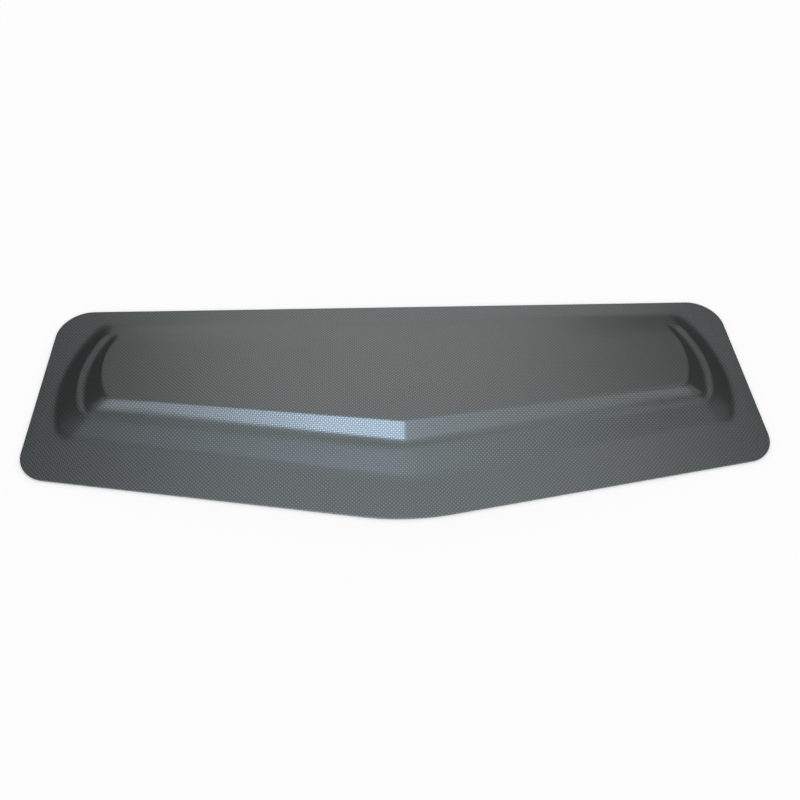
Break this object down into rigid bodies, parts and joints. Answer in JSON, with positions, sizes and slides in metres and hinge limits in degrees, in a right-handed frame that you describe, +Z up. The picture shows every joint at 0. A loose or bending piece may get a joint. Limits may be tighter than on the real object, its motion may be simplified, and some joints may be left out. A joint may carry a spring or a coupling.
{
  "type": "bonnet scoop",
  "caption": "Low moulded carbon-fibre bonnet scoop: a raised deck with a swept V step, a ledge wrapping its round ends, a flat flange all round and an open underside.",
  "frame": {"origin": "under the middle of the part's box, on the underside plane of the flange", "axes": "+X across the car to the right as seen from its nose looking back, +Y to the rear of the scoop, +Z up out of the bonnet"},
  "size_m": [0.7628, 0.2705, 0.0332],
  "materials": {
    "carbon_laminate": "satin lacquer over a fine plain-weave carbon cloth"
  },
  "bodies": {
    "root": {"scoop_shell": "carbon_laminate"}
  },
  "joints": []
}
